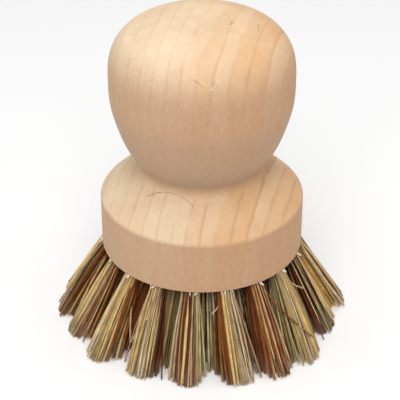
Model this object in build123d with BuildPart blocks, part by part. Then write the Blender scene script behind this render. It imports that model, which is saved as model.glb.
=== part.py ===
from build123d import *
from math import atan, cos, degrees, hypot, pi, radians, sin, sqrt
import os

# A round dish brush: one turned beech block with a knob to hold it by, drilled
# underneath in rings, and in each hole a tuft of plant fibre folded over a flat staple.
# Millimetres. +Z runs up the turning axis, and z = 0 is the plane that the fibre ends
# are trimmed to, which the brush stands on.

# Heights along the axis, each from the one below it
trim_height = 21.8  # from the trimmed fibre ends up to the underside of the wood
rim_height = 15.0
shoulder_rise = 8.8  # from the rim's upper edge to the corner of the neck
flank_rise = 25.1  # from the corner of the neck to the widest ring of the knob
cap_rise = 18.3  # from the widest ring of the knob to its top

# Radii of the turned outline
disc_radius = 28.0
neck_radius = 14.9  # at the corner, before the cove is turned in it
knob_radius = 24.9
shoulder_bulge = 0.9  # how far the shoulder stands proud of a straight slope
neck_cove = 3.0
upper_rim_round = 1.4
lower_rim_round = 0.45

# Points of the knob's outline, as shares of the way out and of the way up
flank_shares = [(0.35, 0.157), (0.80, 0.532), (0.93, 0.719)]
flank_start_share = (0.85, 1.0)  # direction in which the flank leaves the neck
cap_shares = [(0.950, 0.534), (0.794, 0.794), (0.536, 0.951)]

# Drilled holes, one in the middle and then rings of 7, 14 and 18
ring_names = ["centre", "inner", "middle", "outer"]
holes_in_ring = [1, 7, 14, 18]
ring_turns = [0.0, 15.0, 18.5, 3.5]  # degrees from +X to the ring's first hole
ring_shares = [0.0, 0.384, 0.707, 1.0]  # of the outer ring's radius
rim_margin = 3.25  # from the outer ring's holes to the side of the disc
hole_radius = 2.2
hole_depth = 11.0

# How much further out each ring's fibre ends are than its holes
outer_splay = 12.6
splay_shares = [0.0, 0.476, 0.865, 1.0]  # of the outer ring's splay

# Staples: flat wire across each hole near its bottom, with the tuft folded over it
staple_width = 2.4
staple_thickness = 0.5
staple_bite = 0.45  # how far each end is driven into the wood beside the hole
fold_height = 1.0  # of the fibre that is folded between the staple and the hole's end

# Tufts: a tight root fills the hole, and its strands flare to the trimmed ends
root_clearance = 0.08  # between the root's corners and the hole
root_sides = 8
root_drop = 0.9  # how far the tight root reaches out of the wood
staple_fit = 0.02  # between the staple and the fibre round it
strands_in_tuft = 9
strand_root_width = 0.6
strand_tip_width = 1.25
strand_tip_spread = 3.7  # from the tuft's axis to the middle of its outermost strands
strand_seat = 0.4  # how far a strand starts inside the root
strand_turn = -15.0  # degrees, a turn of the pattern that puts its outermost strand outwards
trim_depth = 0.5  # what is cut off the strands to leave their ends flat

# Levels of the turned block
face_z = trim_height
rim_z = face_z + rim_height
neck_z = rim_z + shoulder_rise
belly_z = neck_z + flank_rise
top_z = belly_z + cap_rise

# The rings of holes
rings = range(len(ring_names))
outer_ring_radius = disc_radius - rim_margin
ring_radii = [outer_ring_radius * share for share in ring_shares]
ring_splays = [outer_splay * share for share in splay_shares]

# What seats in the holes
staple_length = 2 * (hole_radius + staple_bite)
staple_depth = hole_depth - fold_height
root_radius = hole_radius - root_clearance
root_flat_radius = root_radius * cos(pi / root_sides)
strand_root_spread = root_flat_radius - strand_root_width / sqrt(2)
golden_turn = pi * (3 - sqrt(5))  # radians between one strand and the next


def ring_tilt(ring):
    """The angle in radians that a ring's holes lean out by, so that its tufts splay."""
    return atan(ring_splays[ring] / trim_height)


def ring_angles(ring):
    """The angle in degrees from +X of each hole of a ring."""
    count = holes_in_ring[ring]
    return [ring_turns[ring] + 360 * index / count for index in range(count)]


def hole_plane(ring, angle=0):
    """The mouth of a hole in the underside, with its normal along the hole, out of the wood."""
    tilt = ring_tilt(ring)
    up = Vector(0, 0, 1)
    outward = Vector(cos(radians(angle)), sin(radians(angle)), 0)
    return Plane(
        origin=outward * ring_radii[ring] + up * face_z,
        x_dir=outward * cos(tilt) + up * sin(tilt),
        z_dir=outward * sin(tilt) - up * cos(tilt),
    )


def tuft_axis(ring, height):
    """How far a ring's tufts are from the turning axis at a height under the wood."""
    return ring_radii[ring] + ring_splays[ring] * (face_z - height) / trim_height


# The staples, each standing across its hole with both ends in the wood
def staples_across(ring, angles, clearance=0):
    ends = [hole_plane(ring, angle).offset(-staple_depth - clearance) for angle in angles]
    with BuildPart() as staples:
        with BuildSketch(*ends):
            Rectangle(staple_thickness + 2 * clearance, staple_length + 2 * clearance)
        extrude(amount=staple_width + 2 * clearance)
    return staples.part


staple_groups = [staples_across(ring, ring_angles(ring)) for ring in rings]


# The block, turned from one piece of beech and then drilled
def outline_points(start, end, shares):
    """Points of the turned outline, each by its share of the way out and of the way up."""
    return [
        (start[0] + (end[0] - start[0]) * out, start[1] + (end[1] - start[1]) * up)
        for out, up in shares
    ]


def turned_edge(piece, radius, height):
    """The round edge of a turned piece that is nearest to a radius and a height."""
    rounds = piece.edges().filter_by(GeomType.CIRCLE)
    return rounds.sort_by(lambda edge: hypot(edge.radius - radius, edge.arc_center.Z - height))[0]


rim_corner = (disc_radius, rim_z)
neck_corner = (neck_radius, neck_z)
belly = (knob_radius, belly_z)
crown = (0, top_z)
flank_points = outline_points(neck_corner, belly, flank_shares)
cap_points = outline_points((0, belly_z), (knob_radius, top_z), cap_shares)

with BuildPart() as handle_block:
    with BuildSketch(Plane.XZ):
        with BuildLine():
            Polyline(crown, (0, face_z), (disc_radius, face_z), rim_corner)
            SagittaArc(rim_corner, neck_corner, -shoulder_bulge)
            Spline(neck_corner, *flank_points, belly, tangents=[flank_start_share, (0, 1)])
            Spline(belly, *cap_points, crown, tangents=[(0, 1), (-1, 0)])
        make_face()
    revolve(axis=Axis.Z)
    fillet(turned_edge(handle_block, neck_radius, neck_z), neck_cove)
    fillet(turned_edge(handle_block, disc_radius, rim_z), upper_rim_round)
    fillet(turned_edge(handle_block, disc_radius, face_z), lower_rim_round)

    mouths = [hole_plane(ring, angle) for ring in rings for angle in ring_angles(ring)]
    with Locations(*mouths):
        Hole(hole_radius, hole_depth)
    add(staple_groups, mode=Mode.SUBTRACT)


# The tufts, one pattern to a ring, which is turned to each of the ring's holes
def strand(ring, index):
    """One strand, from below the trimmed ends up its own line into the tight root."""
    turn = index * golden_turn + radians(strand_turn)
    across = Vector(cos(turn), sin(turn), 0) * sqrt((index + 1 / 2) / strands_in_tuft)
    root_z = face_z - root_drop + strand_seat
    tip = Vector(tuft_axis(ring, -trim_depth), 0, -trim_depth) + across * strand_tip_spread
    root = Vector(tuft_axis(ring, root_z), 0, root_z) + across * strand_root_spread
    length = (root - tip).length
    with BuildPart() as blade:
        with BuildSketch(Plane(origin=tip, x_dir=(1, 0, 0), z_dir=root - tip)):
            Rectangle(strand_tip_width, strand_tip_width)
        narrowing = (strand_tip_width - strand_root_width) / 2
        extrude(amount=length, taper=degrees(atan(narrowing / length)))
    return blade.part


def tuft_pattern(ring):
    """A ring's tuft in a hole that lies towards +X."""
    with BuildPart() as tuft:
        with BuildSketch(hole_plane(ring).offset(-hole_depth)):
            RegularPolygon(root_radius, root_sides, rotation=180 / root_sides)
        extrude(amount=hole_depth + (root_drop + root_radius) / cos(ring_tilt(ring)))
        split(bisect_by=Plane.XY.offset(face_z - root_drop))
        add(staples_across(ring, [0], staple_fit), mode=Mode.SUBTRACT)
        add([strand(ring, index) for index in range(strands_in_tuft)])
        split(bisect_by=Plane.XY)
    return tuft.part


# Each piece in a file of its own
def save(piece, name):
    piece.label = name
    export_step(piece, f"parts/{name}.step")


os.makedirs("parts", exist_ok=True)
save(handle_block.part, "handle_block")
for ring, ring_name in enumerate(ring_names):
    save(staple_groups[ring], f"staples_{ring_name}")
    pattern = tuft_pattern(ring)
    for number, angle in enumerate(ring_angles(ring), start=1):
        with BuildPart() as tuft:
            add(pattern, rotation=(0, 0, angle))
        save(tuft.part, f"tuft_{ring_name}_{number:02d}")
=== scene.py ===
import math
import random
from typing import NamedTuple

import bmesh
import bpy
from bpy.props import FloatProperty, FloatVectorProperty, IntProperty, PointerProperty
from mathutils import Color, Matrix, Vector


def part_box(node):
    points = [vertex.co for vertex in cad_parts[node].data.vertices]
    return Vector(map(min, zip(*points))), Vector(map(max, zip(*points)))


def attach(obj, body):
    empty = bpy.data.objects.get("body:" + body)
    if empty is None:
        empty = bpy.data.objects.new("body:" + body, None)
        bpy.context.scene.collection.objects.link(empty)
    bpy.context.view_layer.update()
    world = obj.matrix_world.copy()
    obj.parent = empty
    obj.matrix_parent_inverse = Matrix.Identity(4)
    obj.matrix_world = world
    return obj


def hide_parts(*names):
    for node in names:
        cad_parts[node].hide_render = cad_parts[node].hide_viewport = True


bl_info = {
    "name": "Dish brush",
    "version": (1, 0, 0),
    "blender": (4, 5, 0),
    "location": "View3D > Sidebar > Dish brush",
    "description": "Dresses a turned beech dish brush with its grain and its tufts of plant fibre",
    "category": "Object",
}

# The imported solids, and the levels that everything here is placed by, in metres
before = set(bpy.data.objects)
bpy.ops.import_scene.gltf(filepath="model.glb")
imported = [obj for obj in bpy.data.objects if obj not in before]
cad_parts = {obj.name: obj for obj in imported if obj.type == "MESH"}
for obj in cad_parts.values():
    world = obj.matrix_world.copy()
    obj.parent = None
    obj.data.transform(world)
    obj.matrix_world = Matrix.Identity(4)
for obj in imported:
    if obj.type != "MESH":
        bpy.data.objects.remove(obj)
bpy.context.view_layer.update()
block_low, block_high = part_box("handle_block")
face_z = block_low.z
MM = 0.001
UP = Vector((0, 0, 1))

# The photograph's frame and where the camera stood
PHOTO_PIXELS = 400
FOCAL_PIXELS = 1458
AIM_PIXEL = (202.2, 164.8)  # where the point aimed at lies in the photograph
SENSOR_WIDTH_MM = 36

# The floor and the lamps, in metres: each lamp's place, its size and its power's setting
FLOOR_REACH = 2.0  # from the brush to each side of the floor
LAMPS = {
    "key_light": ((-0.05, -0.57, 0.78), 0.6, "key_power"),
    "top_light": ((0, 0.1, 1.0), 0.8, "top_power"),
    "left_light": ((-0.6, -0.05, 0.2), 0.3, "side_power"),
    "right_light": ((0.6, -0.05, 0.2), 0.3, "side_power"),
}

# Patterns in the wood: the size of their spots in millimetres, across the growth rings, along
# them and up the grain
DRIFT_SIZE = (13, 16, 42)
STRENGTH_SIZE = (6, 8, 13)
BLOTCH_SIZE = (11, 11, 20)
STREAK_SIZE = (1.4, 1.4, 36)
DAPPLE_SIZE = (2.6, 2.6, 3.2)
SPECK_SIZE = (0.9, 0.9, 1.4)
RAY_SIZE = (0.26, 0.26, 2.2)
PORE_SIZE = (0.20, 0.20, 8)
DRIFT_MM = 3  # how far the growth rings wander, from side to side
WARM_SPAN_MM = 60  # from the pale left side of the block to the warm right side

# Ramps of the wood, each a list of places and strengths
YEAR_LINE = [(0, 0.3), (0.1, 0), (0.76, 0), (0.91, 0.9), (0.96, 1), (1, 0.5)]  # over one year
LINE_BY_HEIGHT = [(0.5, 0.6), (0.72, 1), (0.88, 1), (0.98, 0.3)]  # from the floor to the top
# Side grain and painted shade: how far the darker, pinker side colour covers a surface
SIDE_GRAIN_AND_SHADE_BY_TILT = [(0.1, 0), (0.3, 0.38), (0.52, 0.85), (0.75, 1)]  # from facing up to down
# Painted shade: how far the greyer colour covers the surfaces that face down
UNDERSIDE_SHADE_BY_TILT = [(0.53, 0), (0.72, 0.7), (0.9, 1)]

# Hairline marks in the wood: three places along each and half its width, all in millimetres,
# and how much darker it is, or lighter below zero, where it is a painted highlight along a
# scratch's lit edge
MARK_FADE_MM = 0.6  # over which each mark fades in from its ends
MARKS_AND_SCRATCH_SHADING = [
    ((-14.8, -13.3, 42.7), (-12.9, -13.2, 43.6), (-10.7, -13.5, 44.3), 0.30, 0.50),
    ((-10.7, -13.5, 44.3), (-6.4, -15.3, 44.6), (-1.9, -19.1, 43.1), 0.20, 0.35),
    ((-12.9, -15.1, 52.7), (-11.6, -15.3, 51.2), (-9.8, -16.6, 51.4), 0.15, 0.20),
    ((-4.8, -19.5, 52.5), (-0.6, -20.2, 52.6), (2.9, -21.5, 56.2), 0.15, 0.20),
    ((-2.1, -21.5, 82.9), (-0.6, -22.4, 82.0), (0.8, -23.2, 80.9), 0.12, 0.40),
    # Painted highlight along the lit edge of the scratch above
    ((-1.8, -21.4, 83.2), (-0.3, -22.2, 82.3), (1.1, -23.1, 81.2), 0.16, -0.40),
    # Painted highlight along a scratch's lit edge
    ((4.8, -21.7, 82.2), (3.5, -22.9, 81.0), (2.2, -23.6, 79.9), 0.18, -0.45),
    # Painted shadow just below that scratch
    ((5.1, -21.9, 81.8), (3.8, -23.1, 80.7), (2.5, -23.6, 79.5), 0.12, 0.25),
    ((-1.9, -23.9, 77.9), (-1.0, -24.1, 76.6), (-0.3, -24.3, 75.5), 0.12, 0.28),
    ((1.1, -24.0, 77.6), (1.0, -24.1, 76.4), (0.8, -24.3, 75.3), 0.12, 0.22),
    ((-18.2, -14.7, 80.8), (-16.7, -15.5, 81.5), (-15.3, -15.8, 82.4), 0.24, 0.14),
    ((-14.9, -18.4, 80.1), (-13.3, -19.4, 80.6), (-11.7, -19.7, 81.3), 0.24, 0.15),
    ((-19.4, -10.7, 82.3), (-17.3, -12.3, 83.4), (-15.1, -14.2, 84.0), 0.22, 0.10),
    ((6.8, -4.4, 88.4), (7.6, -2.8, 88.4), (7.7, -1.0, 88.5), 0.50, 0.35),
    ((14.2, -4.4, 87.4), (14.3, -2.6, 87.6), (14.5, -0.3, 87.6), 0.20, 0.25),
]

# Other patterns: the size of their spots in millimetres along X, Y and Z
TURNED_SIZE = (40, 40, 0.3)  # the fine rings that the lathe's tool leaves on the block
TORN_SIZE = (0.3, 0.3, 0.6)
FIBRE_GRAIN_SIZE = (0.16, 0.16, 3)
WIRE_SIZE = (0.4, 0.4, 2.5)
CLOUD_SIZE = (400, 400, 400)

# The staple wire's dullest and brightest colour
WIRE_DULL = (0.42, 0.43, 0.44)
WIRE_BRIGHT = (0.66, 0.67, 0.68)

# Rings of holes: each ring's name in its nodes, the degrees to its first hole from +X, and its
# holes' distance out and its tufts' splay, as shares of the outer ring's
RING_NAMES = ["centre", "inner", "middle", "outer"]
OUTER_RING = RING_NAMES.index("outer")
RING_TURNS = [0, 15, 18.5, 3.5]
RING_SHARES = [0, 0.384, 0.707, 1]
SPLAY_SHARES = [0, 0.476, 0.865, 1]


class Kind(NamedTuple):
    """A kind of fibre."""

    colour: tuple  # on the screen, from 0 to 255
    thickness: float  # in millimetres


FIBRE_KINDS = {
    "straw": Kind((238, 206, 138), 0.62),
    "green": Kind((214, 196, 142), 0.60),
    "pale": Kind((240, 221, 190), 0.46),
    "tan": Kind((216, 178, 132), 0.52),
    "gold": Kind((214, 158, 78), 0.58),
    "rust": Kind((158, 88, 38), 0.62),
    "maroon": Kind((104, 50, 22), 0.60),
    "dark": Kind((54, 36, 22), 0.46),
}
COMMON_KINDS = "straw straw straw straw pale pale tan green green gold rust maroon dark".split()
COMMON_COUNT = 6  # kinds that are drawn from them for a tuft that has none of its own


class Look(NamedTuple):
    """How a tuft stands on the floor, in millimetres, and its kinds of fibre side by side."""

    lean: float  # sideways, from its own hole's line
    half_width: float
    reach: float  # from the brush's axis to its outermost fibre ends
    kinds: str


OUTER_LOOK = Look(0, 4.4, 41.2, "")
INNER_LOOK = Look(0, 5.6, 43.6, "")
LOOKS = {
    "outer_01": Look(-3.2, 4.0, 41.2, "gold straw pale dark pale pale"),
    "outer_02": Look(-3.0, 3.6, 38.8, "pale straw tan straw"),
    "outer_08": Look(0.5, 4.2, 40.6, "straw tan pale straw"),
    "outer_09": Look(4.2, 4.0, 39.8, "pale pale tan pale pale straw"),
    "outer_10": Look(3.2, 4.2, 41.5, "pale pale tan tan gold gold rust maroon"),
    "outer_11": Look(1.2, 4.5, 41.0, "green straw straw tan rust"),
    "outer_12": Look(0.9, 4.1, 42.3, "straw pale straw gold straw rust"),
    "outer_13": Look(1.0, 4.5, 41.2, "tan straw straw pale straw maroon"),
    "outer_14": Look(0.2, 4.5, 41.5, "tan rust straw maroon maroon tan green"),
    "outer_15": Look(1.2, 5.0, 42.1, "maroon rust straw tan straw pale tan"),
    "outer_16": Look(-1.5, 4.5, 43.2, "maroon rust straw maroon rust tan maroon"),
    "outer_17": Look(-5.2, 4.8, 43.0, "straw straw pale tan straw gold"),
    "outer_18": Look(-3.3, 4.2, 39.9, "maroon tan maroon dark green straw gold"),
    "middle_09": Look(0.9, 5.6, 43.4, "dark tan pale rust straw"),
    # Painted light: middle_10 is given paler kinds than its real greenish straw, to lift it out of
    # the outer row's shadow
    "middle_10": Look(0.5, 5.6, 43.6, "pale straw straw pale green"),
    "middle_11": Look(-0.4, 5.6, 44.0, "green rust green pale green"),
    "middle_12": Look(-1.6, 5.6, 43.8, "green green dark tan green"),
    "middle_13": Look(-2.6, 5.6, 43.6, "tan rust green straw"),
}

# Tufts with a loose fibre: its end, sideways, outwards and up from the tuft's foot in
# millimetres, and its kind
STRAYS = {
    "outer_12": (6.0, -4.0, 5.0, "tan"),
    "outer_13": (-5.5, -3.0, 6.0, "pale"),
    "outer_15": (-5.5, -8.1, 16.0, "pale"),
    "outer_16": (12.3, 1.5, 6.0, "rust"),
    "outer_17": (10.1, -6.1, 14.0, "tan"),
}

# How a fibre is made
FIBRE_SIDES = 4
FREE_RINGS = 5  # rings of a fibre's mesh from the mouth of the hole to its cut end
FLATNESS = 1.4  # of a split fibre, across against through
ROOT_SHARE = 0.7  # of a fibre's thickness where it is pressed in its hole
FOLD_SHARES = [(0.7, 0.5), (0, 1), (-0.7, 0.5)]  # across and above the staple
FOLD_RISE_MM = 0.5
BEND_SHARE = 0.35  # of the way from the hole to the floor, by which a fibre is nearly spread
SPREAD_SHARE = 0.75  # of its distance from the tuft's line that it has there
LOOSE_SHARE = 0.2  # of that distance which a loose fibre has there
LOOSE_ROOT_SHARE = 0.6  # of the way out to the side of its hole, where a loose fibre stands
BOW_MM = 0.25  # that a fibre's free length is bowed by
LOOSE_BOW_MM = 0.1
END_CLEARANCE = 0.8  # between a cut end's middle and the floor, as a share of its half thickness
TIP_CROWDING = 1.6  # how much the outer fibre ends crowd together, from 1 for evenly
CORNER_SHARE = 0.3  # how much narrower a tuft's outer side is than its middle

# How fibres differ
THICKNESS_RANGE = (0.65, 1.35)  # against their kind's
LIGHTNESS_RANGE = (0.7, 1.18)
SHADED_RANGE = (0.35, 0.6)  # the lightness of the few that are much darker than their kind
SHADED_SHARE = 0.18
WILD_SHARE = 0.12  # of the fibres, which lie less straight than the rest
WILD_SCATTER = 3  # times as far sideways as the rest
OUT_SCATTER_MM = 0.4  # of the fibre ends, outwards
SIDE_SCATTER_MM = 0.45
TRIM_SCATTER = 0.5  # of their heights, as a share of the uneven trim
STEADY_SHARE = 0.82  # of the fibres that lie among their own kind
KIND_SCATTER = 0.4  # of a fibre's place among its tuft's kinds
CUT_PALENESS = 0.15  # of a cut end, on the way to the pale kind's colour
BAND_MM = 3.5  # length of the lighter and darker bands along a fibre
BAND_STARTS = 500  # bands, among which each fibre starts at its own

# Slivers of torn wood at the outer holes, in millimetres
LIP_COUNTS = (1, 2, 2, 3, 3)  # drawn from for each hole
LIP_DISTANCE = 3.0  # from the middle of the hole's mouth
LIP_FAN = 0.5  # radians to either side of straight outwards
LIP_LENGTHS = (0.8, 1.5)
LIP_ROOT_RADII = (0.30, 0.50)
LIP_TIP_RADII = (0.10, 0.24)
LIP_LEANS = (0.1, 0.8)  # outwards, against 1 along the hole
LIP_SKEW = 0.5  # sideways, against 1 along the hole
LIP_SIDES = 6
LIP_FLATNESS = 0.5  # of its thickness against its width


def screen_colour(*shown):
    """A colour as a screen shows it, from 0 to 255, made linear."""
    return tuple(Color([part / 255 for part in shown]).from_srgb_to_scene_linear())


class DISHBRUSH_PG_stage(bpy.types.PropertyGroup):
    """Where the camera stands, and the light."""

    distance: FloatProperty(
        name="Distance",
        description="From the camera to the point that it is aimed at",
        default=0.4,
        unit="LENGTH",
    )
    elevation: FloatProperty(
        name="Elevation",
        description="Angle above the horizon that the camera looks down from",
        default=math.radians(30.65),
        unit="ROTATION",
    )
    aim_height: FloatProperty(
        name="Aim height",
        description="Height on the turning axis of the point aimed at",
        default=0.045,
        unit="LENGTH",
    )
    floor_colour: FloatVectorProperty(
        name="Floor",
        description="Colour of the floor",
        default=(0.97, 0.97, 0.97),
        subtype="COLOR",
    )
    floor_glow: FloatProperty(
        name="Floor glow",
        description="Strength of the light that the floor gives off, as a lit white table does",
        default=0.08,
    )
    key_power: FloatProperty(
        name="Key light",
        description="Power of the large lamp in front, high up and a little to the left",
        default=4.4,
        unit="POWER",
    )
    top_power: FloatProperty(
        name="Top light",
        description="Power of the overhead softbox",
        default=4.2,
        unit="POWER",
    )
    side_power: FloatProperty(
        name="Side lights",
        description="Power of each of the weak lamps to the left and right",
        default=0.26,
        unit="POWER",
    )
    sky_strength: FloatProperty(
        name="Surrounding light",
        description="Strength of the even light from all round",
        default=0.28,
    )


class DISHBRUSH_PG_wood(bpy.types.PropertyGroup):
    """The beech of the turned block."""

    pale: FloatVectorProperty(
        name="Early wood",
        description="Colour of the palest years' growth",
        default=screen_colour(250, 229, 196),
        subtype="COLOR",
    )
    peach: FloatVectorProperty(
        name="Warm wood",
        description="Colour of the years' growth that is warmer than the rest",
        default=screen_colour(237, 187, 136),
        subtype="COLOR",
    )
    # Partly the side grain's own pinker tone, partly painted shade: darker on the sides and
    # undersides, which get less light
    side_grain_and_shade: FloatVectorProperty(
        name="Side grain",
        description="Colour where the surface runs along the grain",
        default=screen_colour(195, 153, 119),
        subtype="COLOR",
    )
    # Painted shade: a greyer tone that stands in for the dimmer light on the surfaces that face
    # down
    underside_shade: FloatVectorProperty(
        name="Underside",
        description="Colour where the surface faces down, which is greyer",
        default=screen_colour(178, 159, 139),
        subtype="COLOR",
    )
    late: FloatVectorProperty(
        name="Late wood",
        description="Colour of the line where a growth ring ends",
        default=screen_colour(178, 124, 80),
        subtype="COLOR",
    )
    ray: FloatVectorProperty(
        name="Rays",
        description="Colour of the short flecks along the grain",
        default=screen_colour(182, 128, 96),
        subtype="COLOR",
    )
    # The mark colour also serves as a painted shadow just below one scratch
    mark: FloatVectorProperty(
        name="Marks",
        description="Colour of the hairline marks and the small dark specks",
        default=screen_colour(110, 66, 38),
        subtype="COLOR",
    )
    torn: FloatVectorProperty(
        name="Torn wood",
        description="Colour of the fresh wood at the edges of the holes, where it is palest",
        default=(0.95, 0.90, 0.80),
        subtype="COLOR",
    )
    ring_spacing: FloatProperty(
        name="Ring spacing",
        description="Thickness of a year's growth",
        default=0.0039,
        unit="LENGTH",
    )
    ring_turn: FloatProperty(
        name="Ring turn",
        description="Angle from the X axis to the direction that the rings are stacked in",
        default=math.radians(13),
        unit="ROTATION",
    )
    ring_lean: FloatProperty(
        name="Ring lean",
        description="How far the growth rings lean over from the turning axis",
        default=math.radians(3.1),
        unit="ROTATION",
    )


class DISHBRUSH_PG_fibre(bpy.types.PropertyGroup):
    """The tufts of plant fibre."""

    rim_margin: FloatProperty(
        name="Rim margin",
        description="From the outer ring's holes to the side of the block",
        default=0.00325,
        unit="LENGTH",
    )
    splay: FloatProperty(
        name="Splay",
        description="How much further out the outer ring's fibre ends are than its holes",
        default=0.0126,
        unit="LENGTH",
    )
    root_radius: FloatProperty(
        name="Root radius",
        description="Radius of a tuft where it fills its hole",
        default=0.00205,
        unit="LENGTH",
    )
    inner_reach: FloatProperty(
        name="Inner reach",
        description="From a tuft's line to its innermost fibre ends at the floor",
        default=0.0044,
        unit="LENGTH",
    )
    fold_depth: FloatProperty(
        name="Fold depth",
        description="How deep in its hole a fibre is folded over the staple",
        default=0.0102,
        unit="LENGTH",
    )
    count: IntProperty(
        name="Fibres in a tuft",
        description="How many fibres are folded into one hole",
        default=56,
    )
    uneven: FloatProperty(
        name="Uneven trim",
        description="How far a fibre may end above the floor",
        default=0.0007,
        unit="LENGTH",
    )


# Materials
MIX_FACTOR, MIX_FIRST, MIX_SECOND, MIX_RESULT = 0, 6, 7, 2  # a colour mix's own sockets


class Value:
    """What a socket of a material gives, on which sums are written as in Python."""

    def __init__(self, tree, socket):
        self.tree = tree
        self.socket = socket

    def node(self, kind, settings=(), inputs=(), output=0):
        """Adds a node, makes its settings, then fills its sockets with numbers or links."""
        added = self.tree.nodes.new(kind)
        for name, setting in dict(settings).items():
            if name == "stops":
                ramp_stops(added.color_ramp, setting)
            else:
                setattr(added, name, setting)
        for name, given in dict(inputs).items():
            if isinstance(given, Value):
                self.tree.links.new(given.socket, added.inputs[name])
            else:
                added.inputs[name].default_value = given
        return Value(self.tree, added.outputs[output] if added.outputs else None)

    def maths(self, operation, *terms):
        """A Math node on one or more values or numbers."""
        return self.node("ShaderNodeMath", {"operation": operation}, enumerate(terms))

    def __add__(self, other):
        return self.maths("ADD", self, other)

    __radd__ = __add__

    def __sub__(self, other):
        return self.maths("SUBTRACT", self, other)

    def __rsub__(self, other):
        return self.maths("SUBTRACT", other, self)

    def __mul__(self, other):
        return self.maths("MULTIPLY", self, other)

    __rmul__ = __mul__

    def __truediv__(self, other):
        return self.maths("DIVIDE", self, other)

    def __rtruediv__(self, other):
        return self.maths("DIVIDE", other, self)

    def __abs__(self):
        return self.maths("ABSOLUTE", self)

    def __floor__(self):
        return self.maths("FLOOR", self)

    def fraction(self):
        """The value's part above its floor."""
        return self.maths("FRACT", self)

    def clipped(self):
        """The value, or zero where it is below zero."""
        return self.maths("MAXIMUM", self, 0)

    def component(self, axis):
        """One component of a vector."""
        return self.node("ShaderNodeSeparateXYZ", inputs={"Vector": self}, output=axis)

    def distance(self, place):
        """How far a vector is from a place."""
        settings = {"operation": "DISTANCE"}
        return self.node("ShaderNodeVectorMath", settings, {0: self, 1: place}, "Value")

    def ramp(self, *stops):
        """The value looked up in a ramp of (place, strength) stops."""
        return self.node("ShaderNodeValToRGB", {"stops": stops}, {"Fac": self})

    def blend(self, first, second):
        """A colour this far on the way from the first to the second."""
        inputs = {MIX_FACTOR: self, MIX_FIRST: opaque(first), MIX_SECOND: opaque(second)}
        return self.node("ShaderNodeMix", {"data_type": "RGBA"}, inputs, MIX_RESULT)


def opaque(colour):
    """A colour as a Mix node takes it."""
    return colour if isinstance(colour, Value) else (*colour, 1)


def ramp_stops(ramp, stops):
    """Gives a new ramp its stops, each a place and a strength."""
    for place, _ in stops[len(ramp.elements):]:
        ramp.elements.new(place)
    for element, (place, strength) in zip(ramp.elements, stops):
        element.position = place
        element.color = (strength, strength, strength, 1)


def new_material(name):
    """A material, its object coordinates and its surface shader."""
    material = bpy.data.materials.new(name)
    material.use_nodes = True
    tree = material.node_tree
    tree.nodes.clear()
    start = Value(tree, None)
    surface = start.node("ShaderNodeBsdfPrincipled")
    start.node("ShaderNodeOutputMaterial", inputs={"Surface": surface})
    here = start.node("ShaderNodeTexCoord", output="Object")
    return material, here, surface.socket.node


def feed(shader, socket, value):
    """Links a value to a socket of the surface shader."""
    value.tree.links.new(value.socket, shader.inputs[socket])


def measured(where, size_mm=(1, 1, 1)):
    """A place in units of a size along each axis, which is given in millimetres."""
    scale = [1 / (length * MM) for length in size_mm]
    return where.node("ShaderNodeMapping", inputs={"Vector": where, "Scale": scale})


def noise(where, size_mm, detail=2):
    """Noise with spots of a size along each axis."""
    spots = {"Vector": measured(where, size_mm), "Scale": 1, "Detail": detail}
    return where.node("ShaderNodeTexNoise", {"noise_dimensions": "3D"}, spots)


def rough_surface(shader, height, strength, depth_mm):
    """Gives a surface its fine relief."""
    relief = {"Height": height, "Strength": strength, "Distance": depth_mm * MM}
    feed(shader, "Normal", height.node("ShaderNodeBump", inputs=relief))


def circle_through(first, second, third):
    """The middle of the circle through three points, and its radius."""
    a = first - third
    b = second - third
    normal = a.cross(b)
    offset = (b * a.length_squared - a * b.length_squared).cross(normal)
    offset /= 2 * normal.length_squared
    return third + offset, offset.length


def hairline(here_mm, places, half_width):
    """1 on a fine curved mark through three places on the surface, all in millimetres."""
    first, middle, last = [Vector(place) for place in places]
    centre, radius = circle_through(first, middle, last)
    half_length = max((first - middle).length, (last - middle).length)
    across = (1 - abs(here_mm.distance(centre) - radius) / half_width).clipped()
    ends = (half_length - here_mm.distance(middle)).ramp((0, 0), (MARK_FADE_MM, 1))
    return across * ends


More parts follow.
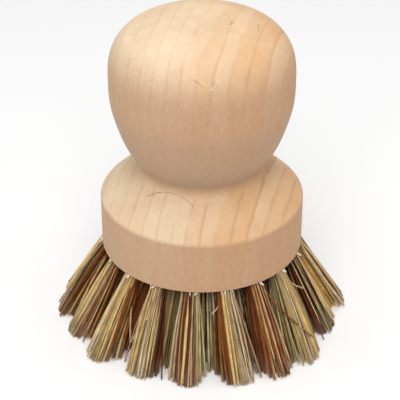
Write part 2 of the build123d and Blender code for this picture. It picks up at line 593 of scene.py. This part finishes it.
def beech_material(wood):
    """Untreated turned beech: growth rings, rays, pores and a few marks in one block of wood, with
    painted shade on its sides and undersides and painted highlights and a painted shadow along
    scratches.
    """
    material, here, shader = new_material("beech")
    here_mm = measured(here)
    leaning = {"Vector": here, "Rotation": (0, -wood.ring_lean, wood.ring_turn)}
    grain = here.node("ShaderNodeMapping", inputs=leaning)

    # The growth rings, counted in years across the block, and how far a place is to the right
    across = measured(grain).component("X")
    drift = noise(grain, DRIFT_SIZE) - 0.5
    year = (across + drift * DRIFT_MM) / (wood.ring_spacing / MM)
    to_right = (across / WARM_SPAN_MM + 0.5).ramp((0.1, 0), (0.75, 1))

    # How far the surface is turned down: 0 faces up, 1 faces down
    facing = here.node("ShaderNodeNewGeometry", output="Normal")
    down = 0.5 - facing.component("Z") * 0.5
    # Where the side grain shows, and where the sides and undersides get painted shade
    side = down.ramp(*SIDE_GRAIN_AND_SHADE_BY_TILT)
    # Painted shade on the surfaces that face down
    underside_shade = down.ramp(*UNDERSIDE_SHADE_BY_TILT)

    # The lines that end the growth rings, which fade in places, low down and on the sides
    strong = noise(grain, STRENGTH_SIZE).ramp((0.34, 0.1), (0.56, 1))
    level = here_mm.component("Z") / (block_high.z / MM)
    line = year.fraction().ramp(*YEAR_LINE)
    line = line * strong * level.ramp(*LINE_BY_HEIGHT)
    line = line * (to_right * 0.42 + 0.45) * (1 - side * 0.95)

    # Each year's growth has its own warmth
    tint = here.node(
        "ShaderNodeTexWhiteNoise", {"noise_dimensions": "1D"}, {"W": math.floor(year)}
    )
    blotch = noise(grain, BLOTCH_SIZE, detail=3).ramp((0.3, 0), (0.7, 1))
    warmth = tint * 0.32 + blotch * 0.3 + to_right * 0.62 - 0.18

    # Finer patterns
    streaks = noise(grain, STREAK_SIZE).ramp((0.35, 0), (0.7, 1))
    dapple = noise(grain, DAPPLE_SIZE, detail=3).ramp((0.35, 0), (0.7, 1))
    specks = noise(grain, SPECK_SIZE, detail=0).ramp((0.85, 0), (0.88, 1))
    rays = noise(grain, RAY_SIZE, detail=1)
    flecks = rays.ramp((0.50, 0), (0.64, 1)) * (side * 0.65 + 0.35)
    fibres = noise(grain, PORE_SIZE)
    pores = fibres.ramp((0.40, 0), (0.70, 1))

    colour = warmth.blend(wood.pale, wood.peach)
    for strength, tone in [
        # Side grain's pinker tone, darkened as painted shade on the sides and undersides
        (side * 0.9, wood.side_grain_and_shade),
        # Painted shade: greyer where the surface faces down
        (underside_shade * 0.9, wood.underside_shade),
        (streaks * side * 0.12, wood.ray),
        (dapple * 0.10, wood.late),
        (line * 0.62, wood.late),
        (flecks * 0.26, wood.ray),
        (pores * 0.10, wood.late),
        (specks * 0.14, wood.mark),
    ]:
        colour = strength.blend(colour, tone)
    # Each mark darkens towards the mark colour, or below zero lightens towards the early wood as a
    # painted highlight
    for *places, half_width, dark in MARKS_AND_SCRATCH_SHADING:
        mark = hairline(here_mm, places, half_width) * abs(dark)
        colour = mark.blend(colour, wood.mark if dark > 0 else wood.pale)
    feed(shader, "Base Color", colour)

    feed(shader, "Roughness", 0.60 + pores * 0.1 - line * 0.08)
    shader.inputs["Specular IOR Level"].default_value = 0.28
    turned = noise(here, TURNED_SIZE, detail=1)
    height = fibres * 0.5 + rays * 0.3 + turned * 0.2
    rough_surface(shader, height, strength=0.15, depth_mm=0.12)
    return material


def torn_wood_material(wood):
    """Fresh whitish wood where the drill has torn the edge of a hole."""
    material, here, shader = new_material("torn_wood")
    ragged = noise(here, TORN_SIZE)
    feed(shader, "Base Color", ragged.blend(wood.pale, wood.torn))
    feed(shader, "Roughness", 0.7 + ragged * 0.15)
    return material


def fibre_material():
    """Split plant fibre, in the colour that each fibre's own attribute gives."""
    material, here, shader = new_material("plant_fibre")
    own = here.node("ShaderNodeAttribute", {"attribute_name": "fibre_colour"}, output="Color")
    run = here.node("ShaderNodeAttribute", {"attribute_name": "fibre_run"}, output="Fac")
    along = {"W": run, "Scale": 1, "Detail": 3}
    bands = here.node("ShaderNodeTexNoise", {"noise_dimensions": "1D"}, along)
    grain = noise(here, FIBRE_GRAIN_SIZE)
    shade = (bands * 0.6 + grain * 0.4).ramp((0.32, 0.62), (0.62, 1))
    feed(shader, "Base Color", shade.blend((0, 0, 0), own))
    feed(shader, "Roughness", 0.45 + bands * 0.3)
    shader.inputs["Specular IOR Level"].default_value = 0.2
    rough_surface(shader, grain * 0.7 + bands * 0.3, strength=0.3, depth_mm=0.1)
    return material


def staple_material():
    """Galvanised flat wire."""
    material, here, shader = new_material("staple_wire")
    drawn = noise(here, WIRE_SIZE, detail=3)
    feed(shader, "Base Color", drawn.blend(WIRE_DULL, WIRE_BRIGHT))
    feed(shader, "Roughness", 0.28 + drawn * 0.22)
    shader.inputs["Metallic"].default_value = 1
    return material


def floor_material(stage):
    """An evenly lit, almost white floor."""
    material, here, shader = new_material("floor")
    cloud = noise(here, CLOUD_SIZE)
    duller = [part * 0.98 for part in stage.floor_colour]
    feed(shader, "Base Color", cloud.blend(duller, stage.floor_colour))
    shader.inputs["Roughness"].default_value = 0.8
    shader.inputs["Emission Color"].default_value = (1, 1, 1, 1)
    shader.inputs["Emission Strength"].default_value = stage.floor_glow
    return material


def dress(node_object, material):
    """Gives a solid of the frame its material, in the slot that it has or a new one."""
    if not node_object.material_slots:
        node_object.data.materials.append(material)
    for slot in node_object.material_slots:
        slot.material = material


def finished_object(name, bm, material):
    """A bmesh as an object at the origin, smooth, with its material."""
    mesh = bpy.data.meshes.new(name)
    bm.to_mesh(mesh)
    bm.free()
    mesh.materials.append(material)
    mesh.shade_smooth()
    piece = bpy.data.objects.new(name, mesh)
    bpy.context.scene.collection.objects.link(piece)
    return piece


# Tufts
class Tuft:
    """One tuft's place: the mouth of its hole, its foot, and the ways along and across it."""

    def __init__(self, fibre, ring, angle, look):
        outward = Vector((math.cos(angle), math.sin(angle), 0))
        outer_root = block_high.x - fibre.rim_margin
        root = outer_root * RING_SHARES[ring]
        splay = fibre.splay * SPLAY_SHARES[ring]
        tilt = math.atan2(splay, face_z)
        self.outward = outward
        self.side = UP.cross(outward)
        self.mouth = outward * root + UP * face_z
        self.foot = outward * (root + splay) + self.side * (look.lean * MM)
        self.bend = self.mouth.lerp(self.foot, BEND_SHARE)
        self.along = outward * math.sin(tilt) - UP * math.cos(tilt)
        self.across = outward * math.cos(tilt) + UP * math.sin(tilt)
        self.half_width = look.half_width * MM
        widest = max(kind.thickness for kind in FIBRE_KINDS.values()) * MM
        self.outer_reach = look.reach * MM - (outer_root + fibre.splay) - widest / 2
        self.inner_reach = fibre.inner_reach
        self.kinds = look.kinds.split()

    def in_hole(self, u, v, depth):
        """A point in the hole, u out from its own axis, v round the ring, at a depth."""
        return self.mouth + self.across * u + self.side * v - self.along * depth

    def at_floor(self, u, v, height):
        """A point beside the tuft's foot, u outwards, v sideways, at a height over the floor."""
        return self.foot + self.outward * u + self.side * v + UP * height

    def end_spot(self, u, v):
        """Where the fibre at a place in a unit disc ends, out and sideways from the foot."""
        out = u * self.inner_reach
        if u > 0:
            out = (1 - (1 - u) ** TIP_CROWDING) * self.outer_reach
        return out, v * self.half_width * (1 - CORNER_SHARE * max(u, 0))


def ring_of_tufts(ring, fibre):
    """A ring's tufts by name, one for each of its nodes in the frame."""
    usual = OUTER_LOOK if ring == OUTER_RING else INNER_LOOK
    nodes = sorted(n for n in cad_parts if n.startswith(f"tuft_{RING_NAMES[ring]}_"))
    tufts = {}
    for index, node in enumerate(nodes):
        name = node.removeprefix("tuft_")
        angle = math.radians(RING_TURNS[ring] + 360 * index / len(nodes))
        tufts[name] = Tuft(fibre, ring, angle, LOOKS.get(name, usual))
    return tufts


def fibre_template():
    """A straight unit fibre with its rings of corners, to be bent."""
    rings = 2 * FREE_RINGS + len(FOLD_SHARES)
    bm = bmesh.new()
    bmesh.ops.create_cone(
        bm, cap_ends=True, segments=FIBRE_SIDES, radius1=1, radius2=1, depth=1
    )
    upright = [edge for edge in bm.edges if edge.verts[0].co.z * edge.verts[1].co.z < 0]
    bmesh.ops.subdivide_edges(bm, edges=upright, cuts=rings - 2, use_grid_fill=True)
    mesh = bpy.data.meshes.new("fibre_template")
    bm.to_mesh(mesh)
    bm.free()
    return mesh


def free_line(start, bend, end, bow):
    """Points from the mouth of a hole to a cut end, by way of a bend."""
    points = []
    for step in range(1, FREE_RINGS + 1):
        t = step / FREE_RINGS
        point = start * (1 - t) ** 2 + bend * (2 * t * (1 - t)) + end * t**2
        points.append(point + bow * (4 * t * (1 - t)))
    return points


def rings_along(points, radius):
    """A fibre's rings: each one's middle, two ways across, half thickness and place along it."""
    last = len(points) - 1
    rings = []
    normal = None
    previous = None
    run = 0
    for i, point in enumerate(points):
        tangent = (points[min(i + 1, last)] - points[max(i - 1, 0)]).normalized()
        if normal is None:
            normal = tangent.orthogonal().normalized()
        else:
            normal = previous.rotation_difference(tangent) @ normal
            normal = (normal - tangent * normal.dot(tangent)).normalized()
            run += (point - points[i - 1]).length
        previous = tangent
        free = max(0, 1 - min(i, last - i) / FREE_RINGS)
        width = radius * (ROOT_SHARE + (1 - ROOT_SHARE) * free)
        rings.append((point, normal, tangent.cross(normal), width, run))
    return rings


def bend_fibre(corners, rings, turn):
    """Lays a template's corners on a fibre's rings, and gives each its place along it."""
    runs = []
    for corner in corners:
        share = corner.co.z + 0.5  # of the way along the template
        point, normal, binormal, width, run = rings[round(share * (len(rings) - 1))]
        spin = math.atan2(corner.co.y, corner.co.x)
        flat = math.cos(spin) * FLATNESS
        thin = math.sin(spin) / FLATNESS
        across = normal * (flat * math.cos(turn) - thin * math.sin(turn))
        across += binormal * (flat * math.sin(turn) + thin * math.cos(turn))
        corner.co = point + across * width
        runs.append(run)
    return runs


def packed_spots(count, rng):
    """Pairs of places in a unit disc, one in its outer and one in its inner half."""
    golden = math.pi * (3 - math.sqrt(5))
    turn = rng.uniform(0, 2 * math.pi)
    spots = []
    for k in range(2 * count):
        reach = math.sqrt((k + 0.5) / (2 * count))
        angle = k * golden + turn
        spots.append((reach * math.cos(angle), reach * math.sin(angle)))
    spots.sort()
    outer = sorted(spots[count:], key=lambda spot: spot[1])
    inner = sorted(spots[:count], key=lambda spot: spot[1])
    return list(zip(outer, inner))


def kind_at(v, kinds, rng):
    """The kind of a fibre that lies at a place across its tuft, from -1 to 1."""
    if rng.random() > STEADY_SHARE:
        return rng.choice(COMMON_KINDS)
    place = (v + 1) / 2 * len(kinds) + rng.gauss(0, KIND_SCATTER)
    return kinds[min(len(kinds) - 1, max(0, int(place)))]


class TuftMesh:
    """The mesh of one tuft, to which fibres are added."""

    def __init__(self, tuft, fibre, template, rng):
        self.tuft = tuft
        self.fibre = fibre
        self.template = template
        self.rng = rng
        self.bm = bmesh.new()
        self.tint = self.bm.verts.layers.float_color.new("fibre_colour")
        self.run = self.bm.verts.layers.float.new("fibre_run")

    def add(self, points, radius, kind, lightness=1):
        """One fibre along a line of points."""
        first = len(self.bm.verts)
        self.bm.from_mesh(self.template)
        self.bm.verts.ensure_lookup_table()
        corners = self.bm.verts[first:]
        turn = self.rng.uniform(0, math.pi)
        runs = bend_fibre(corners, rings_along(points, radius), turn)
        colour = Vector(screen_colour(*FIBRE_KINDS[kind].colour)) * lightness
        pale = Vector(screen_colour(*FIBRE_KINDS["pale"].colour))
        cut = colour.lerp(pale, CUT_PALENESS)
        ends = (0, max(runs))
        start = self.rng.uniform(0, BAND_STARTS)
        for corner, run in zip(corners, runs):
            corner[self.tint] = (*(cut if run in ends else colour), 1)
            corner[self.run] = start + run / (BAND_MM * MM)

    def line_to(self, u, v, end, bow_mm, spread=SPREAD_SHARE):
        """A free line from a place in the mouth of the hole to an end."""
        root = self.tuft.in_hole(u, v, 0)
        bend = self.tuft.bend + (end - self.tuft.foot) * spread
        bow = Vector([self.rng.gauss(0, bow_mm) * MM for _ in range(3)])
        return free_line(root, bend, end, bow)

    def cut_end(self, u, v, radius, side_scatter_mm):
        """The cut end, near the floor, of the fibre at a place in a unit disc."""
        out, sideways = self.tuft.end_spot(u, v)
        out += self.rng.gauss(0, OUT_SCATTER_MM) * MM
        sideways += self.rng.gauss(0, side_scatter_mm) * MM
        uneven = abs(self.rng.gauss(0, TRIM_SCATTER)) * self.fibre.uneven
        height = radius * END_CLEARANCE + uneven
        return self.tuft.at_floor(min(out, self.tuft.outer_reach), sideways, height)

    def folded(self, pair, kinds):
        """A fibre folded over the staple, with both its ends at the floor."""
        rng = self.rng
        (u0, v0), (u1, v1) = pair
        kind = kind_at((v0 + v1) / 2, kinds, rng)
        radius = FIBRE_KINDS[kind].thickness * MM / 2 * rng.uniform(*THICKNESS_RANGE)
        inner = self.fibre.root_radius - radius
        scatter = SIDE_SCATTER_MM * (WILD_SCATTER if rng.random() < WILD_SHARE else 1)
        lines = []
        for u, v in pair:
            end = self.cut_end(u, v, radius, scatter)
            lines.append(self.line_to(u * inner, v * inner, end, BOW_MM))
        fold = []
        for share, rise in FOLD_SHARES:
            near = (share + 1) / 2
            u = (u0 * near + u1 * (1 - near)) * inner
            v = (v0 * near + v1 * (1 - near)) * inner
            depth = self.fibre.fold_depth + rise * FOLD_RISE_MM * MM
            fold.append(self.tuft.in_hole(u, v, depth))
        shaded = rng.random() < SHADED_SHARE
        lightness = rng.uniform(*(SHADED_RANGE if shaded else LIGHTNESS_RANGE))
        self.add(lines[0][::-1] + fold + lines[1], radius, kind, lightness)

    def stray(self, sideways, out, up, kind):
        """A loose fibre that leaves the tuft, with its other end inside it."""
        tuft = self.tuft
        radius = FIBRE_KINDS[kind].thickness * MM / 2
        inner = self.fibre.root_radius - radius
        aside = math.copysign(LOOSE_ROOT_SHARE, sideways) * inner
        end = tuft.at_floor(out * MM, sideways * MM, up * MM)
        loose = self.line_to(aside / 2, aside, end, LOOSE_BOW_MM, LOOSE_SHARE)
        other = self.line_to(-aside, 0, tuft.at_floor(0, 0, radius), LOOSE_BOW_MM)
        fold = [tuft.in_hole(0, aside * share, self.fibre.fold_depth) for share, _ in FOLD_SHARES]
        self.add(loose[::-1] + fold + other, radius, kind)

    def finish(self, name, material):
        """The tuft as an object."""
        bmesh.ops.recalc_face_normals(self.bm, faces=self.bm.faces)
        piece = finished_object(name, self.bm, material)
        piece.data.attributes.active_color = piece.data.attributes["fibre_colour"]
        return piece


def torn_lips(tufts, material):
    """Whitish slivers of wood that hang at the outer edge of the tufts' holes."""
    rng = random.Random("lips")
    flatten = Matrix.Diagonal((1, LIP_FLATNESS, 1, 1))
    bm = bmesh.new()
    for tuft in tufts:
        for _ in range(rng.choice(LIP_COUNTS)):
            angle = rng.gauss(0, LIP_FAN)
            length = rng.uniform(*LIP_LENGTHS) * MM
            around = tuft.outward * math.cos(angle) + tuft.side * math.sin(angle)
            base = tuft.mouth + around * LIP_DISTANCE * MM
            outwards = tuft.across * rng.uniform(*LIP_LEANS)
            way = tuft.along + outwards + tuft.side * rng.gauss(0, LIP_SKEW)
            turn = way.to_track_quat("Z", "X").to_matrix().to_4x4()
            spot = Matrix.Translation(base + way.normalized() * (length / 2))
            bmesh.ops.create_cone(
                bm,
                cap_ends=True,
                segments=LIP_SIDES,
                radius1=rng.uniform(*LIP_ROOT_RADII) * MM,
                radius2=rng.uniform(*LIP_TIP_RADII) * MM,
                depth=length,
                matrix=spot @ turn @ flatten,
            )
    return finished_object("torn_hole_lips", bm, material)


# The stage
def add_camera(scene, stage):
    """The camera, at the photograph's angle and with its framing."""
    data = bpy.data.cameras.new("camera")
    data.sensor_width = SENSOR_WIDTH_MM
    data.lens = FOCAL_PIXELS / PHOTO_PIXELS * SENSOR_WIDTH_MM
    camera = bpy.data.objects.new("camera", data)
    scene.collection.objects.link(camera)
    half = PHOTO_PIXELS / 2
    lowered = math.atan((half - AIM_PIXEL[1]) / FOCAL_PIXELS)
    turned = math.atan((AIM_PIXEL[0] - half) / FOCAL_PIXELS)
    camera.location = (
        0,
        -stage.distance * math.cos(stage.elevation),
        stage.aim_height + stage.distance * math.sin(stage.elevation),
    )
    camera.rotation_euler = (math.pi / 2 - stage.elevation - lowered, 0, turned)
    scene.camera = camera


def add_light(scene, stage):
    """The lamps, all aimed at the brush, and the even light from all round."""
    aim = Vector((0, 0, stage.aim_height))
    for name, (place, size, power) in LAMPS.items():
        lamp = bpy.data.lights.new(name, "AREA")
        lamp.size = size
        lamp.energy = getattr(stage, power)
        holder = bpy.data.objects.new(name, lamp)
        holder.location = place
        holder.rotation_euler = (Vector(place) - aim).to_track_quat("Z", "Y").to_euler()
        scene.collection.objects.link(holder)
    world = bpy.data.worlds.new("surroundings")
    world.use_nodes = True
    background = world.node_tree.nodes["Background"]
    background.inputs["Color"].default_value = (1, 1, 1, 1)
    background.inputs["Strength"].default_value = stage.sky_strength
    scene.world = world


class DISHBRUSH_OT_stage(bpy.types.Operator):
    """Sets the camera, the pale floor and the soft studio light"""

    bl_idname = "dishbrush.stage"
    bl_label = "Set the stage"

    def execute(self, context):
        scene = context.scene
        stage = scene.dish_brush_stage
        scene.view_settings.view_transform = "Standard"
        add_camera(scene, stage)
        bm = bmesh.new()
        bmesh.ops.create_grid(bm, x_segments=1, y_segments=1, size=FLOOR_REACH)
        floor = finished_object("floor", bm, floor_material(stage))
        add_light(scene, stage)
        return {"FINISHED"}


class DISHBRUSH_OT_block(bpy.types.Operator):
    """Gives the turned block its beech"""

    bl_idname = "dishbrush.block"
    bl_label = "Dress the block"

    def execute(self, context):
        dress(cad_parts["handle_block"], beech_material(context.scene.dish_brush_wood))
        return {"FINISHED"}


class DISHBRUSH_OT_staples(bpy.types.Operator):
    """Gives the staples in the holes their galvanised wire"""

    bl_idname = "dishbrush.staples"
    bl_label = "Dress the staples"

    def execute(self, context):
        material = staple_material()
        for ring_name in RING_NAMES:
            dress(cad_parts[f"staples_{ring_name}"], material)
        return {"FINISHED"}


class DISHBRUSH_OT_tufts(bpy.types.Operator):
    """Fills each hole with its tuft of plant fibre"""

    bl_idname = "dishbrush.tufts"
    bl_label = "Make the tufts"

    def execute(self, context):
        fibre = context.scene.dish_brush_fibre
        material = fibre_material()
        template = fibre_template()
        for ring, ring_name in enumerate(RING_NAMES):
            tufts = ring_of_tufts(ring, fibre)
            for number, (name, tuft) in enumerate(tufts.items(), start=1):
                rng = random.Random(f"{ring_name} {number}")
                kinds = tuft.kinds or rng.choices(COMMON_KINDS, k=COMMON_COUNT)
                mesh = TuftMesh(tuft, fibre, template, rng)
                for pair in packed_spots(fibre.count, rng):
                    mesh.folded(pair, kinds)
                if name in STRAYS:
                    mesh.stray(*STRAYS[name])
                piece = mesh.finish(f"fibres_{name}", material)
                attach(piece, "root")
                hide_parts(f"tuft_{name}")
        bpy.data.meshes.remove(template)
        return {"FINISHED"}


class DISHBRUSH_OT_lips(bpy.types.Operator):
    """Hangs torn slivers of wood at the outer ring's holes"""

    bl_idname = "dishbrush.lips"
    bl_label = "Tear the holes' edges"

    def execute(self, context):
        scene = context.scene
        tufts = ring_of_tufts(OUTER_RING, scene.dish_brush_fibre)
        lips = torn_lips(tufts.values(), torn_wood_material(scene.dish_brush_wood))
        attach(lips, "root")
        return {"FINISHED"}


class DISHBRUSH_PT_panel(bpy.types.Panel):
    """The brush's sizes and colours, and the steps that make it"""

    bl_idname = "DISHBRUSH_PT_panel"
    bl_label = "Dish brush"
    bl_space_type = "VIEW_3D"
    bl_region_type = "UI"
    bl_category = "Dish brush"

    def draw(self, context):
        for group in GROUPS:
            settings = getattr(context.scene, group)
            box = self.layout.box()
            for name in settings.bl_rna.properties.keys():
                if name not in ("rna_type", "name"):
                    box.prop(settings, name)
        for step in STEPS:
            self.layout.operator(step.bl_idname)


GROUPS = {
    "dish_brush_stage": DISHBRUSH_PG_stage,
    "dish_brush_wood": DISHBRUSH_PG_wood,
    "dish_brush_fibre": DISHBRUSH_PG_fibre,
}
STEPS = [
    DISHBRUSH_OT_stage,
    DISHBRUSH_OT_block,
    DISHBRUSH_OT_staples,
    DISHBRUSH_OT_tufts,
    DISHBRUSH_OT_lips,
]
CLASSES = [*GROUPS.values(), *STEPS, DISHBRUSH_PT_panel]


def register():
    for cls in CLASSES:
        bpy.utils.register_class(cls)
    for name, group in GROUPS.items():
        setattr(bpy.types.Scene, name, PointerProperty(type=group))


def unregister():
    for name in GROUPS:
        delattr(bpy.types.Scene, name)
    for cls in reversed(CLASSES):
        bpy.utils.unregister_class(cls)


def main():
    register()
    bpy.ops.dishbrush.stage()
    bpy.ops.dishbrush.block()
    bpy.ops.dishbrush.staples()
    bpy.ops.dishbrush.tufts()
    bpy.ops.dishbrush.lips()


if __name__ == "__main__":
    main()
